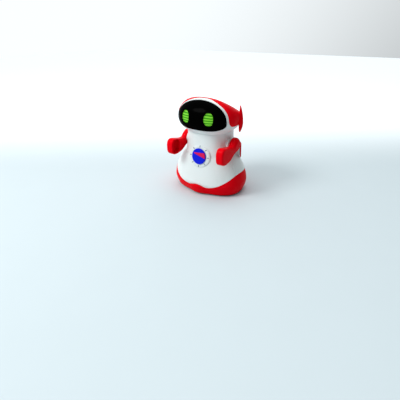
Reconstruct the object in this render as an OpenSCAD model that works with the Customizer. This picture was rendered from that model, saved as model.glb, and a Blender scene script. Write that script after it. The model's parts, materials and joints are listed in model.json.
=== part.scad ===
// Small educational coding robot: a rounded body on a wheeled base, a helmet-like head with a
// curved faceplate, two swinging arms, and a keypad on the rear slope of the head.
// Front is -Y, the robot's left is +X, and Z = 0 is the surface that it stands on. The modules
// measure Y from the wheel axle line.

/* [Base] */
// Half width of the base at its widest
belly_a = 61.5; // [60:0.5:63]
// Depth of the base from the wheel axle line to the front at its widest
belly_front = 41; // [40:0.5:42]
// Depth of the base from the wheel axle line to the back at its widest
belly_back = 42; // [41:0.5:44]
// Height of the widest line of the base
belly_z = 19; // [17:1:22]
// How far the base draws in between its widest line and the floor
undercut = 6; // [4:0.5:6]
// Gap between the skirt and the floor
ground_gap = 2.5; // [2:0.5:3]
// How far the nose of the skirt stands forward
nose_out = 4; // [2:0.5:5]
// Lowest height of the skirt's wavy top edge
edge_low = 12.6; // [12:0.2:13]
// Rise of the skirt's top edge towards the sides
edge_rise = 24; // [22:1:24]

/* [Body] */
// Half width of the body at its waist
waist_a = 38.8; // [38:0.2:40]
// Front depth of the body at its neck
neck_front = 29; // [28.5:0.5:30]
// Back depth of the body at its waist
waist_back = 36; // [35:0.5:38]
// Height at which the body starts to flare
flare_z = 63; // [61:1:65]
// Height at which the neck becomes straight
neck_z = 90; // [89:0.5:91]
// Wall of the body and head mouldings
wall = 2; // [1.8:0.1:2.2]

/* [Head] */
// Half width of the head
head_a = 50; // [49:0.5:51]
// Half depth of the head
head_b = 41.5; // [41:0.5:42]
// Height of the head's widest line
head_z = 120.5; // [120:0.5:121]
// Rise of the brow above the widest line
brow_h = 32.6; // [32:0.2:33.4]
// Drop of the chin below the widest line
chin_h = 30; // [30:0.5:31]
// Half width of the faceplate
visor_a = 43.8; // [43:0.2:44.2]
// Rise of the faceplate above its widest line
visor_up = 28.6; // [27.4:0.2:28.8]
// Drop of the faceplate below its widest line
visor_down = 15; // [14:0.5:15.5]

/* [Arms] */
// Height of the shoulder axis
shoulder_z = 79; // [78.5:0.5:79.5]
// Thickness of an arm
arm_t = 12; // [11:0.5:12.5]

/* [Wheels and gears] */
// Diameter of the wheels over the tyre
wheel_d = 34; // [33:0.5:34]
// Tooth module of the gears
gear_m = 0.5; // [0.5:0.5]
// Teeth on the motor pinion
pinion_teeth = 10; // [10:10]
// Teeth on the large wheel of the compound gear
compound_teeth = 40; // [40:40]
// Teeth on the small wheel of the compound gear
compound_small_teeth = 12; // [12:12]
// Teeth on the gear that drives the wheel
wheel_gear_teeth = 36; // [36:36]

/* [Keys and dial] */
// Travel of a key
key_travel = 1.2; // [1:0.1:1.2]
// Diameter of the chest dial
dial_d = 25; // [24:0.5:27]

/* [Hidden] */
$fn = 48;
gap = 0.3;            // clear gap between mouldings that don't touch
run = 0.05;           // radial running clearance
axle_r = 1.5;
pin_r = 1;
squareness = 2.4;     // exponent of the body's rounded-square outline
floor_squareness = 2.4;
split_t = 70;         // angle of the body's parting line, from the front
skirt_wall = 1.8;
neck_top_z = 108;
head_y = -0.5;         // centre of the head, front to back
brow_y = -16;         // the brow's crest
back_slope = 0.0165;  // how fast the crown falls away behind the brow, per mm
cap_front_y = -21.8;  // front edge of the cap, in side view
cap_low_z = 111.5;    // lower edge of the cap
cap_corner_r = 11;
visor_z = 120.5;
visor_t = 2;
eye_x = 20.2;
eye_z = 124.4;
eye_rx = 7.7;
eye_rz = 10.1;
shoulder_y = -2;
arm_x = 39.5;         // inner face of an arm
arm_pin_r = 3;
boss_r = 10;          // white boss behind each arm
saddle_z = 50.5;       // height at which the rear cover meets the belly
eye_set = 1.4;           // how far the eye lenses sit back
dial_z = 62;
dial_tilt = 10;
dial_face = 33.2;     // from the wheel axle line to the front of the dial's scale
bezel_d = 38;
bezel_t = 4.5;
key_y = 11;
key_slope = atan((head_top(key_y - 6) - head_top(key_y + 6)) / 12);
plate_z = 3.6;        // underside of the chassis plate
plate_t = 2;
bay_x = 28;           // half length of the battery bay
bay_front_y = -19;
bay_back_y = 27;
bay_top_z = 21;
cell_d = 14.2;
cell_l = 50;
cell_z = plate_z + plate_t + cell_d / 2 + 0.2;
wheel_z = wheel_d / 2;
wheel_x = 41;
wheel_w = 7.5;
motor_z = wheel_z + 14;
motor_x = 29.2;
motor_l = 25;
plate_in_x = 30.2;
plate_out_x = 38;
gear_plate_t = 1.4;
pitch_motor = gear_m * (pinion_teeth + compound_teeth) / 2;
pitch_wheel = gear_m * (compound_small_teeth + wheel_gear_teeth) / 2;
axis_gap = motor_z - wheel_z;
compound_rise = (pow(pitch_wheel, 2) - pow(pitch_motor, 2) + pow(axis_gap, 2)) / (2 * axis_gap);
compound_y = sqrt(pow(pitch_wheel, 2) - pow(compound_rise, 2));
compound_z = wheel_z + compound_rise;

// ---- outlines ----------------------------------------------------------------------------

function root(v, e) = v < 0 ? -pow(-v, e) : pow(v, e);
function ease(t) = t <= 0 ? 0 : t >= 1 ? 1 : t * t * (3 - 2 * t);
function clamp01(t) = max(0, min(1, t));

// A point on a rounded-square ring: t runs from the front (0) through the left side (90).
function ring_point(t, a, front, back, n) =
    [a * root(sin(t), 2 / n), -(cos(t) > 0 ? front : back) * root(cos(t), 2 / n)];
function ring(a, front, back, n, steps) =
    [for (i = [0:steps - 1]) ring_point(360 * i / steps, a, front, back, n)];

// Size of the body at height z: the flare below flare_z, the undercut below belly_z.
function flare(z) = 1 - pow(1 - clamp01((flare_z - z) / (flare_z - belly_z)), 2.1);
function spread(z) = pow(clamp01((flare_z + 5 - z) / (flare_z + 5 - belly_z)), 2);
function draw_in(z) = z >= belly_z ? 0 : undercut * pow((belly_z - z) / belly_z, 1.6);
function neck_in(z) = 2.3 * ease((z - flare_z) / (neck_z - flare_z));
function body_a(z) = waist_a + (belly_a - waist_a) * flare(z) - draw_in(z) - neck_in(z);
function body_front(z) =
    neck_front + (belly_front - neck_front) * pow(clamp01((95 - z) / (95 - belly_z)), 1.66)
    - draw_in(z);
function body_back(z) =
    waist_back + (belly_back - waist_back) * spread(z) - draw_in(z) - 1.3 * neck_in(z);

function body_point(t, z, off) =
    let (p = ring_point(t, body_a(z) + off, body_front(z) + off, body_back(z) + off, squareness))
    [p[0], p[1], z];

// Height of the skirt's top edge at angle t, with a small peak over the nose.
function turn(t) = abs(((t + 180) % 360) - 180);
function edge_z(t) =
    let (u = turn(t))
    edge_low + edge_rise * (u < 100 ? ease((u - 3) / 80) : 1 - 0.45 * pow(sin((u - 100) * 1.125), 2))
    + nose_out * exp(-pow(u / 8, 2));
function nose(t, z) = nose_out * exp(-pow(turn(t) / 11, 2)) * clamp01(1.3 - z / 40);

// ---- surfaces ----------------------------------------------------------------------------

// A closed solid from a grid of outer points and a matching grid of inner points. Each grid is
// a list of rows. With round = true the rows close on themselves.
module walled(outer, inner, round = false) {
    rows = len(outer);
    cols = len(outer[0]);
    count = rows * cols;
    last = round ? cols - 1 : cols - 2;
    function at(r, c) = r * cols + (c % cols);
    function cell(r, c, o, flip) = flip
        ? [[o + at(r, c), o + at(r + 1, c), o + at(r, c + 1)],
           [o + at(r, c + 1), o + at(r + 1, c), o + at(r + 1, c + 1)]]
        : [[o + at(r, c), o + at(r, c + 1), o + at(r + 1, c)],
           [o + at(r, c + 1), o + at(r + 1, c + 1), o + at(r + 1, c)]];
    function strip(a, b) = [[a, a + count, b], [b, a + count, b + count]];
    skins = [for (r = [0:rows - 2]) for (c = [0:last])
        each concat(cell(r, c, 0, true), cell(r, c, count, false))];
    bottom = [for (c = [0:last]) each strip(at(0, c + 1), at(0, c))];
    top = [for (c = [0:last]) each strip(at(rows - 1, c), at(rows - 1, c + 1))];
    sides = round ? [] : [for (r = [0:rows - 2])
        each concat(strip(at(r, 0), at(r + 1, 0)), strip(at(r + 1, cols - 1), at(r, cols - 1)))];
    polyhedron(points = concat([for (row = outer) each row], [for (row = inner) each row]),
        faces = concat(skins, bottom, top, sides));
}

// A curved panel of the body between two angles and two heights. low(t) and high(t) come in as
// lists, one value for each column.
// Point on the head: u around from the front, v up from -90 to 90. off moves it outwards.
function crown(y) = min(1, 1 - back_slope * (y - brow_y));
function head_point(u, v, off) =
    let (r = root(cos(v), 0.9),
        x = (head_a + off) * r * root(sin(u), 0.82),
        y = head_y - (head_b + off) * r * root(cos(u), 0.82),
        up = (brow_h + off) * crown(y) * root(sin(v), 0.955),
        down = (chin_h + off) * root(sin(v), 0.955))
    [x, y, head_z + (v > 0 ? up : down)];

module head_solid(off, around = 44, rows = 20) {
    ring_vs = [for (j = [1:rows - 1]) -90 + 180 * j / rows];
    pts = concat([head_point(0, -90, off)],
        [for (v = ring_vs) for (i = [0:around - 1]) head_point(360 * i / around, v, off)],
        [head_point(0, 90, off)]);
    n = len(ring_vs);
    top = len(pts) - 1;
    function at(r, c) = 1 + r * around + (c % around);
    polyhedron(points = pts, faces = concat(
        [for (c = [0:around - 1]) [0, at(0, c), at(0, c + 1)]],
        [for (r = [0:n - 2]) for (c = [0:around - 1]) each
            [[at(r, c), at(r + 1, c), at(r, c + 1)],
             [at(r, c + 1), at(r + 1, c), at(r + 1, c + 1)]]],
        [for (c = [0:around - 1]) [top, at(n - 1, c + 1), at(n - 1, c)]]));
}

// Height of the head's surface on its middle plane at depth y.
function head_top(y) =
    let (c = pow(abs(y - head_y) / head_b, 1 / 0.9))
    head_z + brow_h * crown(y) * root(sqrt(1 - c * c), 0.955);

// ---- helpers -----------------------------------------------------------------------------

module mirrored(side) {
    if (side > 0) children();
    else mirror([1, 0, 0]) children();
}
module along_x(x, y, z) translate([x, y, z]) rotate([0, 90, 0]) children();
module rod_x(x, y, z, r, l) along_x(x, y, z) cylinder(r = r, h = l);
module at_dial() translate([0, -dial_face, dial_z]) rotate([90 - dial_tilt, 0, 0]) children();
module at_keys() translate([0, key_y, head_top(key_y)]) rotate([-key_slope, 0, 0]) children();
module centred_box(x, y, z, size) translate([x - size[0] / 2, y - size[1] / 2, z]) cube(size);
module screw(r, head_r, l, head_t) {
    difference() {
        union() {
            cylinder(r = head_r, h = head_t);
            translate([0, 0, head_t - 0.01]) cylinder(r = r, h = l + 0.01);
        }
        for (turn = [0, 90]) rotate(turn)
            translate([-head_r * 0.6, -0.35, -0.01]) cube([head_r * 1.2, 0.7, head_t * 0.6]);
    }
}

// ---- base --------------------------------------------------------------------------------

module floor_outline(off) {
    z = plate_z + 1;
    polygon(ring(body_a(z) + off, body_front(z) + off, body_back(z) + off, floor_squareness, 72));
}

boss_spots = [[-33, -20], [33, -20], [-34, 26], [34, 26]];
pad_spots = [[0, -26.5, 4.5], [0, 31.5, 3.5]];

module chassis() {
    color("dimgray") difference() {
        union() {
            translate([0, 0, plate_z]) linear_extrude(plate_t) floor_outline(-skirt_wall - wall - 1);
            translate([-bay_x - 1.2, bay_front_y - 1.5, plate_z])
                cube([2 * bay_x + 2.4, bay_back_y - bay_front_y + 3, bay_top_z + 1.4 - plate_z]);
            for (s = boss_spots) translate([s[0], s[1], plate_z]) cylinder(r = 3.4, h = 8);
            translate([16, -24.5, plate_z]) cylinder(r = 3, h = 9);
        }
        translate([-bay_x, bay_front_y, plate_z - 1])
            cube([2 * bay_x, bay_back_y - bay_front_y, bay_top_z + 1 - plate_z]);
        translate([-bay_x - 0.01, bay_front_y - 0.01, plate_z - 1])
            cube([2 * bay_x + 0.02, bay_back_y - bay_front_y + 0.02, plate_t + 1]);
        translate([10.5, -28.5, plate_z - 1]) cube([11, 10, 2.7]);
        for (side = [-1, 1]) centred_box(side * (wheel_x + 8), 0, plate_z - 1,
            [20, wheel_d + 4, plate_t + 2]);
        for (s = boss_spots) translate([s[0], s[1], plate_z - 1]) {
            cylinder(r = 1.55, h = 20);
            cylinder(r = 2.8, h = 2.6);
        }
        translate([16, -24.5, plate_z - 1]) cylinder(r = 1.5, h = 20);
        for (p = pad_spots) translate([p[0], p[1], plate_z - 1]) cylinder(r = 1.6, h = 6);
    }
}

module base_skirt() {
    cols = 72;
    ts = [for (i = [0:cols - 1]) 360 * i / cols];
    rows = 7;
    function height(t, r) = ground_gap + (edge_z(t) - 0.45 - ground_gap) * r / rows;
    function out(t, z, off) =
        let (p = body_point(t, z, off), n = nose(t, z)) [p[0], p[1] - n, z];
    function grid(off) = [for (r = [0:rows]) [for (t = ts) out(t, height(t, r), off)]];
    color("red") walled(grid(0), grid(-skirt_wall), true);
}

module glide_pads() {
    color("gray") for (p = pad_spots) translate([p[0], p[1], 0]) {
        rotate_extrude() polygon([[0, 0], [p[2] - 1, 0], [p[2], 1.2], [p[2], plate_z], [0, plate_z]]);
        translate([0, 0, plate_z - 0.01]) cylinder(r = 1.6, h = plate_t + 0.6);
    }
}

module battery_door() {
    color("dimgray") difference() {
        union() {
            translate([-bay_x + gap, bay_front_y + gap, plate_z])
                cube([2 * bay_x - 2 * gap, bay_back_y - bay_front_y - 2 * gap, 1.6]);
            translate([10.8, -28.2, plate_z]) cube([10.4, 10, 1.4]);
        }
        translate([16, -24.5, plate_z - 1]) cylinder(r = 1.5, h = 5);
        for (i = [-2:2]) translate([-8, 22 + i * 1.6, plate_z - 0.01]) cube([16, 0.8, 0.5]);
    }
}

module door_screw() {
    color("silver") translate([16, -24.5, plate_z - 1.2]) screw(1.4, 2.6, 7, 1.2);
}

module case_screws() {
    color("silver") for (s = boss_spots)
        translate([s[0], s[1], plate_z]) screw(1.4, 2.6, 12, 1.4);
}

// ---- batteries ---------------------------------------------------------------------------

cell_ys = [for (i = [-1:1]) (bay_front_y + bay_back_y) / 2 + i * (cell_d + 0.6)];

module battery_cells() {
    color("goldenrod") for (i = [0:2]) translate([0, cell_ys[i], cell_z])
        rotate([0, i % 2 == 0 ? 90 : -90, 0]) translate([0, 0, -cell_l / 2]) rotate_extrude()
            polygon([[0, 0], [cell_d / 2 - 0.8, 0], [cell_d / 2, 0.5], [cell_d / 2, cell_l - 1.8],
                [cell_d / 2 - 0.8, cell_l - 1.3], [2.7, cell_l - 1.3], [2.7, cell_l], [0, cell_l]]);
}

module battery_contacts() {
    color("silver") for (i = [0:2]) for (end = [-1, 1])
        translate([end * (bay_x - 0.4), cell_ys[i], cell_z]) {
            spring = (i % 2 == 0) == (end < 0);
            centred_box(0, 0, -5, [0.6, 9, 10]);
            rotate([0, -90 * end, 0]) cylinder(r1 = spring ? 4 : 2, r2 = spring ? 2.5 : 1.6,
                h = bay_x - 0.4 - cell_l / 2 - 0.02);
        }
}

// ---- drive -------------------------------------------------------------------------------

// Outline of a spur gear with straight-sided teeth, a tooth centred on +X.
module gear_2d(teeth) {
    r = gear_m * teeth / 2;
    tip = gear_m * 0.95;
    foot = gear_m * 1.2;
    half = 90 / teeth * 0.9;
    function p(radius, angle) = [radius * cos(angle), radius * sin(angle)];
    slope = 20;
    lean_tip = atan(tip * tan(slope) / r);
    lean_foot = atan(foot * tan(slope) / r);
    polygon([for (i = [0:teeth - 1]) let (c = 360 * i / teeth) each [
        p(r - foot, c - half - lean_foot), p(r, c - half), p(r + tip, c - half + lean_tip),
        p(r + tip, c + half - lean_tip), p(r, c + half), p(r - foot, c + half + lean_foot)]]);
}

// A gear turning about X, its first tooth at the given angle from +Y towards +Z.
module gear_x(x, y, z, teeth, w, angle) {
    translate([x, y, z]) rotate([90, 0, 90]) rotate(angle) linear_extrude(w) gear_2d(teeth);
}

to_motor = atan2(motor_z - compound_z, -compound_y);   // from the compound gear to the pinion
to_wheel = atan2(wheel_z - compound_z, -compound_y);   // from the compound gear to the wheel

module motor() {
    color("silver") {
        intersection() {
            rod_x(motor_x - motor_l, 0, motor_z, 10, motor_l);
            translate([0, -10, motor_z - 7.5]) cube([60, 20, 15]);
        }
        rod_x(motor_x - 0.01, 0, motor_z, 3, 0.8);
        rod_x(motor_x - motor_l - 1, 0, motor_z, 2.5, 1.02);
        for (y = [-5, 5]) centred_box(motor_x - motor_l - 1.5, y, motor_z - 1, [3.02, 0.5, 2.4]);
    }
}

module gear_plate_2d() {
    offset(2) polygon([[-10, 8], [10, 8], [19, 16], [19, 34], [8, 38], [-8, 38], [-10, 28]]);
}
module in_gear_frame(x) translate([x, 0, 0]) rotate([90, 0, 90]) children();

post_spots = [[-9, 8.8], [-8, 36.5], [19, 13]];

module gearbox() {
    color("white") difference() {
        union() {
            in_gear_frame(plate_in_x) linear_extrude(gear_plate_t) gear_plate_2d();
            for (p = post_spots) in_gear_frame(plate_in_x) translate([p[0], p[1], 0])
                cylinder(r = 1.9, h = plate_out_x - plate_in_x);
        }
        rod_x(0, 0, motor_z, 3.1, 60);
        rod_x(0, 0, wheel_z, axle_r + run, 60);
        rod_x(0, compound_y, compound_z, pin_r, 60);
    }
}

module gearbox_cover() {
    color("white") difference() {
        in_gear_frame(plate_out_x) linear_extrude(gear_plate_t) gear_plate_2d();
        rod_x(0, 0, wheel_z, axle_r + run, 60);
        rod_x(0, compound_y, compound_z, pin_r, 60);
    }
}

module gear_pins() {
    color("silver") for (side = [1, -1]) mirrored(side)
        rod_x(plate_in_x, compound_y, compound_z, pin_r, plate_out_x + gear_plate_t - plate_in_x);
}

module pinion() {
    // A tooth gap of the pinion faces the compound gear.
    color("gold") difference() {
        gear_x(32.3, 0, motor_z, pinion_teeth, 2.6, to_motor + 180 + 180 / pinion_teeth);
        rod_x(32, 0, motor_z, 0.9, 4);
    }
    color("silver") rod_x(motor_x + 0.8, 0, motor_z, 0.9, 6);
}

module compound_gear() {
    color("ivory") difference() {
        union() {
            gear_x(32.6, compound_y, compound_z, compound_teeth, 2, to_motor);
            gear_x(34.59, compound_y, compound_z, compound_small_teeth, 3, to_wheel);
        }
        rod_x(30, compound_y, compound_z, pin_r + run, 10);
    }
}

module wheel_gear() {
    color("ivory") difference() {
        union() {
            gear_x(35, 0, wheel_z, wheel_gear_teeth, 2.4, to_wheel + 180 + 180 / wheel_gear_teeth);
            rod_x(34.7, 0, wheel_z, 3, 1);
        }
        rod_x(30, 0, wheel_z, axle_r, 10);
    }
}

module wheel_axle() {
    color("silver") rod_x(plate_in_x - 0.3, 0, wheel_z, axle_r, wheel_x + wheel_w - plate_in_x - 0.7);
}

module wheel_hub() {
    color("gainsboro") difference() {
        along_x(wheel_x, 0, wheel_z) rotate_extrude() polygon([[0, -0.8], [4, -0.8], [4, 1],
            [wheel_z - 4.5, 1], [wheel_z - 3, 0], [wheel_z - 3, wheel_w], [wheel_z - 4.5, wheel_w],
            [wheel_z - 4.5, 3], [4, 3], [4, wheel_w - 1], [0, wheel_w - 1]]);
        rod_x(30, 0, wheel_z, axle_r, 10 + wheel_x + wheel_w - 31.3);
        for (i = [0:4]) along_x(wheel_x, 0, wheel_z) rotate(72 * i) translate([wheel_z * 0.5, 0, -2])
            cylinder(r = 2.2, h = 8);
    }
}

module tyre() {
    r = wheel_z;
    color("black") along_x(wheel_x, 0, wheel_z) rotate_extrude() polygon([[r - 3, 0], [r - 0.6, 0],
        [r, 0.8], [r, 2.2], [r - 0.5, 2.5], [r, 2.8], [r, 4.7], [r - 0.5, 5], [r, 5.3],
        [r, wheel_w - 0.8], [r - 0.6, wheel_w], [r - 3, wheel_w]]);
}

// ---- body --------------------------------------------------------------------------------

module body_half(t0, t1, cols, z0, extra) {
    ts = [for (i = [0:cols]) t0 + (t1 - t0) * i / cols];
    off = -skirt_wall - gap;
    low = [for (t = ts) z0];
    mid = [for (t = ts) edge_z(t)];
    // Below the skirt's edge the wall steps in behind the skirt.
    rows = 15;
    function height(i, r) = r < 3 ? z0 + (mid[i] - 0.4 - z0) * r / 2
        : mid[i] + (neck_top_z - mid[i]) * (r - 3) / (rows - 3);
    function skin(i, r) = r < 3 ? off : extra;
    function grid(in) = [for (r = [0:rows]) [for (i = [0:cols])
        body_point(ts[i], height(i, r), skin(i, r) - in)]];
    walled(grid(0), grid(wall));
}

module front_shell() {
    color("whitesmoke") difference() {
        body_half(-split_t + 0.2, split_t - 0.2, 30, 8, 0);
        at_dial() translate([0, 0, -14]) cylinder(r = 4, h = 20);
        at_dial() translate([0, 0, -bezel_t]) cylinder(r = bezel_d / 2 + 0.1, h = 12);
    }
}

module back_shell() {
    color("whitesmoke") difference() {
        union() {
            body_half(split_t + 0.2, 360 - split_t - 0.2, 44, 8, 0.4);
            for (side = [1, -1]) mirrored(side) {
                rod_x(31, shoulder_y, shoulder_z, 6, 6);
                rod_x(35.6, shoulder_y, shoulder_z, boss_r, arm_x - gap - 35.6);
                // The seat of the rear cover's side.
                saddle(108.5, 124, 6, [for (i = [0:6]) 57], [for (i = [0:6]) 72], -1.4, -0.2);
            }
        }
        for (side = [1, -1]) mirrored(side) rod_x(25, shoulder_y, shoulder_z, arm_pin_r + run, 30);
        translate([0, 20, 64]) rotate([-90, 0, 0]) cylinder(r = 15, h = 30);
        translate([-8, 20, 41]) cube([16, 40, 6]);
    }
}

// Points of an upright wall over the back: its plan is the body's at saddle_z, moved out by off.
function saddle_point(t, z, off) =
    let (p = body_point(t, saddle_z, off)) [p[0], p[1], z];

// A block between the upright wall and the body, from t0 to t1.
module saddle(t0, t1, cols, lows, highs, out, in) {
    ts = [for (i = [0:cols]) t0 + (t1 - t0) * i / cols];
    rows = 8;
    function height(i, r) = lows[i] + (highs[i] - lows[i]) * r / rows;
    walled([for (r = [0:rows]) [for (i = [0:cols]) saddle_point(ts[i], height(i, r), out)]],
        [for (r = [0:rows]) [for (i = [0:cols]) body_point(ts[i], height(i, r), in)]]);
}

module rear_cover() {
    // A red pack cover whose sides stand upright, over a white seat on each side of the body.
    half = 73;
    cols = 36;
    cover_low = [for (i = [0:cols]) 52.5 + 1.5 * pow(abs(2 * i / cols - 1), 4)];
    cover_high = [for (i = [0:cols]) 77 - 2.5 * pow(abs(2 * i / cols - 1), 4)];
    color("red") difference() {
        saddle(180 - half, 180 + half, cols, cover_low, cover_high, 0.6, 0.7);
        // Hollow behind its wall, and open towards the body at the sides.
        saddle(180 - half - 3, 180 + half + 3, cols, [for (v = cover_low) v + 2.2],
            [for (v = cover_high) v - 1.8], -0.9, -6);
        for (i = [-2:2]) slot_cut(65 + 4 * i, 22 - 2 * abs(i));
    }
}

module slot_cut(z, l) {
    translate([-l / 2, 25, z - 0.9]) cube([l, 30, 1.8]);
}

module speaker() {
    color("darkslategray") translate([0, 31, 64]) rotate([90, 0, 0]) difference() {
        union() {
            cylinder(r = 16, h = 2);
            translate([0, 0, 1.99]) cylinder(r1 = 14, r2 = 9, h = 4);
            translate([0, 0, 5.98]) cylinder(r = 9, h = 4);
        }
        translate([0, 0, -1]) cylinder(r1 = 13.5, r2 = 6, h = 4);
    }
}

module dial_bezel() {
    // A round plug with a rounded rim and eight marks cut into its face.
    r = bezel_d / 2;
    color("white") at_dial() difference() {
        rotate_extrude() polygon([[3, -bezel_t], [r, -bezel_t], [r, -1.9], [r - 0.3, -1.3],
            [r - 1, -0.75], [r - 2.2, -0.3], [r - 4, 0], [3, 0]]);
        for (i = [0:7]) rotate(45 * i) translate([dial_d / 2 + 1.5, -0.5, -0.5]) cube([3.5, 1, 1]);
    }
}

module chest_dial() {
    color("blue") at_dial() {
        rotate_extrude() polygon([[0, 0.2], [dial_d / 2, 0.2], [dial_d / 2, 1.3],
            [dial_d / 2 - 0.5, 1.8], [0, 1.8]]);
        translate([0, 0, -12]) cylinder(r = 2.5, h = 12.3);
    }
}

module dial_pointer() {
    // A raised wedge from near one side of the dial to the rim on the other side.
    color("red") at_dial() intersection() {
        translate([0, 0, 1.8]) cylinder(r = dial_d / 2 - 0.5, h = 0.9);
        translate([0, 0, 1]) linear_extrude(3) polygon([[-8.5, 5.2], [-8.5, 4], [14, -2.4], [14, 7.2]]);
    }
}

module dial_switch() {
    color("dimgray") at_dial() difference() {
        centred_box(0, 0, -12.4, [13, 13, 6]);
        translate([0, 0, -12.1]) cylinder(r = 2.5 + run, h = 10);
    }
}

module main_board() {
    color("green") difference() {
        at_dial() centred_box(0, -2, -14, [46, 40, 1.6]);
        for (x = [-20, 20]) for (y = [-18, 14]) at_dial() translate([x, y, -16]) cylinder(r = 1.4, h = 5);
    }
    color("black") at_dial() centred_box(-13, 4, -15.2, [12, 12, 1.21]);
    color("black") at_dial() centred_box(12, -8, -15, [8, 6, 1.01]);
    color("white") at_dial() centred_box(12, 8, -18.5, [8, 6, 4.51]);
}

module power_switch() {
    color("silver") translate([0, 31, 44]) difference() {
        translate([-9, -5, -3.5]) cube([18, 5, 7]);
        translate([-6.2, -3.2, -1.7]) cube([12.4, 4, 3.4]);
    }
}

module switch_knob() {
    y = body_back(44) + 0.4 + skirt_wall + 0.8;
    color("black") {
        translate([-5.5, 28.3, 42.8]) cube([4, y - 28.3, 2.4]);
        translate([-5.5, y - 0.01, 42.3]) cube([4, 1, 3.4]);
    }
}

// ---- arms --------------------------------------------------------------------------------

// Side view of an arm about its shoulder axis, front to the left: a round shoulder, a forearm
// and a mitten hand. The curve passes through these points.
arm_points = [[1.5, 11.8], [9.4, 8.3], [12.8, 0.3], [9.4, -7.7], [2, -11.1], [-6, -12.2],
    [-13, -15], [-20, -17.6], [-28, -19], [-36, -19.6], [-42.5, -18.2], [-46.5, -14.2], [-47.6, -8],
    [-47.4, -1.5], [-45.2, 4], [-40.5, 6.6], [-33.5, 5.6], [-25, 3.4], [-17, 2], [-10.8, 3],
    [-6.8, 7]];

function curve(p, i, t) =
    let (n = len(p), a = p[(i + n - 1) % n], b = p[i], c = p[(i + 1) % n], d = p[(i + 2) % n])
    (2 * b + (c - a) * t + (2 * a - 5 * b + 4 * c - d) * t * t
    + (3 * b - a - 3 * c + d) * t * t * t) / 2;
// The unit vector that points into a clockwise curve at its point i.
function inward(p, i) =
    let (n = len(p), t = p[(i + 1) % n] - p[(i + n - 1) % n], u = t / norm(t)) [u[1], -u[0]];
// How round an arm's edges are: more at the shoulder than at the hand.
function roundness(a) = 3 * ease((a + 26) / 18);

// A closed solid through a list of loops, each a list of points of the same length. The ends are
// filled with triangles that zigzag away from the point tip, so a bent outline stays filled.
module loft(loops, tip) {
    n = len(loops[0]);
    last = (len(loops) - 1) * n;
    end = [for (k = [0:n / 2 - 1]) let (a = (tip - k + n) % n, b = (tip - k - 1 + n) % n,
        c = (tip + k + 1) % n, d = (tip + k) % n) each [if (a != d) [a, d, c], if (b != c) [a, c, b]]];
    polyhedron(points = [for (loop = loops) each loop], faces = concat(end,
        [for (f = end) [last + f[2], last + f[1], last + f[0]]],
        [for (k = [0:len(loops) - 2]) for (i = [0:n - 1])
            let (a = k * n + i, b = k * n + (i + 1) % n) each [[a, a + n, b], [b, a + n, b + n]]]));
}

module arm() {
    outline = [for (i = [0:len(arm_points) - 1]) for (t = [0:0.25:0.75]) curve(arm_points, i, t)];
    // Each level: the rounding at the hand, the face that it starts from, and an angle.
    levels = concat([for (q = [90:-30:0]) [1.5, 0, q]], [for (q = [0:15:90]) [3, 1, q]]);
    color("red") difference() {
        loft([for (l = levels) [for (i = [0:len(outline) - 1])
            let (p = outline[i], r = l[0] + roundness(p[0]), in = r * (1 - cos(l[2])),
                deep = r * (1 - sin(l[2])), v = inward(outline, i))
            [arm_x + (l[1] == 0 ? deep : arm_t - deep), shoulder_y + p[0] + in * v[0],
                shoulder_z + p[1] + in * v[1]]]], 46);
        rod_x(arm_x - 1, shoulder_y, shoulder_z, arm_pin_r, 8);
        // The hand is hollow on its inner face.
        in_gear_frame(arm_x - 1) linear_extrude(8)
            translate([shoulder_y - 40.6, shoulder_z - 12]) offset(5) square([7.1, 11]);
    }
}

module arm_pin() {
    color("silver") {
        rod_x(28.6, shoulder_y, shoulder_z, arm_pin_r, arm_x + 7 - 28.6);
        rod_x(27.4, shoulder_y, shoulder_z, 4.6, 1.21);
    }
}

// ---- head --------------------------------------------------------------------------------

// The region behind and above the cap's edge, as a prism across the head.
module cap_region(shift) {
    y = cap_front_y + shift;
    z = cap_low_z + shift;
    r = cap_corner_r;
    pts = concat([[80, z - 1.5], [80, 180], [y + 9, 180], [y + 6, 152], [y + 2, 148], [y + 0.5, 144]],
        [for (i = [0:8]) let (q = 180 + 90 * i / 8) [y + r + r * cos(q), z + r + r * sin(q)]]);
    in_gear_frame(-70) linear_extrude(140) polygon(pts);
}

module visor_prism(off) {
    // Egg-shaped: round above its widest line, squarer below it.
    pts = [for (i = [0:59]) let (t = 6 * i, up = cos(t) > 0, e = up ? 0.95 : 0.64)
        [(visor_a + off) * root(sin(t), e), ((up ? visor_up : visor_down) + off) * root(cos(t), e)]];
    translate([0, -12, visor_z]) rotate([90, 0, 0]) linear_extrude(60) polygon(pts);
}

module eye_prism(side, off) {
    pts = [for (i = [0:31]) let (t = 11.25 * i)
        [(eye_rx + off) * root(cos(t), 0.92), (eye_rz + off) * root(sin(t), 0.92)]];
    translate([side * eye_x, -12, eye_z]) rotate([90, 0, 0]) linear_extrude(60) polygon(pts);
}

module neck_prism(off) {
    z = neck_top_z;
    translate([0, 0, 70]) linear_extrude(60)
        polygon(ring(body_a(z) + 0.4 + off, body_front(z) + 0.4 + off, body_back(z) + 0.4 + off,
            squareness, 48));
}

module head_shell() {
    color("whitesmoke") difference() {
        head_solid(0);
        head_solid(-wall);
        cap_region(0);
        visor_prism(0.15);
        intersection() {
            neck_prism(gap);
            translate([-60, -60, 60]) cube([120, 120, 52]);
        }
    }
}

module head_cap() {
    color("red") difference() {
        intersection() {
            head_solid(0);
            cap_region(0.25);
        }
        head_solid(-wall);
        visor_prism(0.3);
        at_keys() for (k = key_spots) translate([k[0], k[1], -12]) cylinder(r = k[2] + 0.4, h = 20);
    }
}

module visor() {
    color("black") difference() {
        intersection() {
            head_solid(0.2);
            visor_prism(0);
        }
        head_solid(0.2 - visor_t);
        for (side = [-1, 1]) eye_prism(side, 0.1);
    }
}

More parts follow.
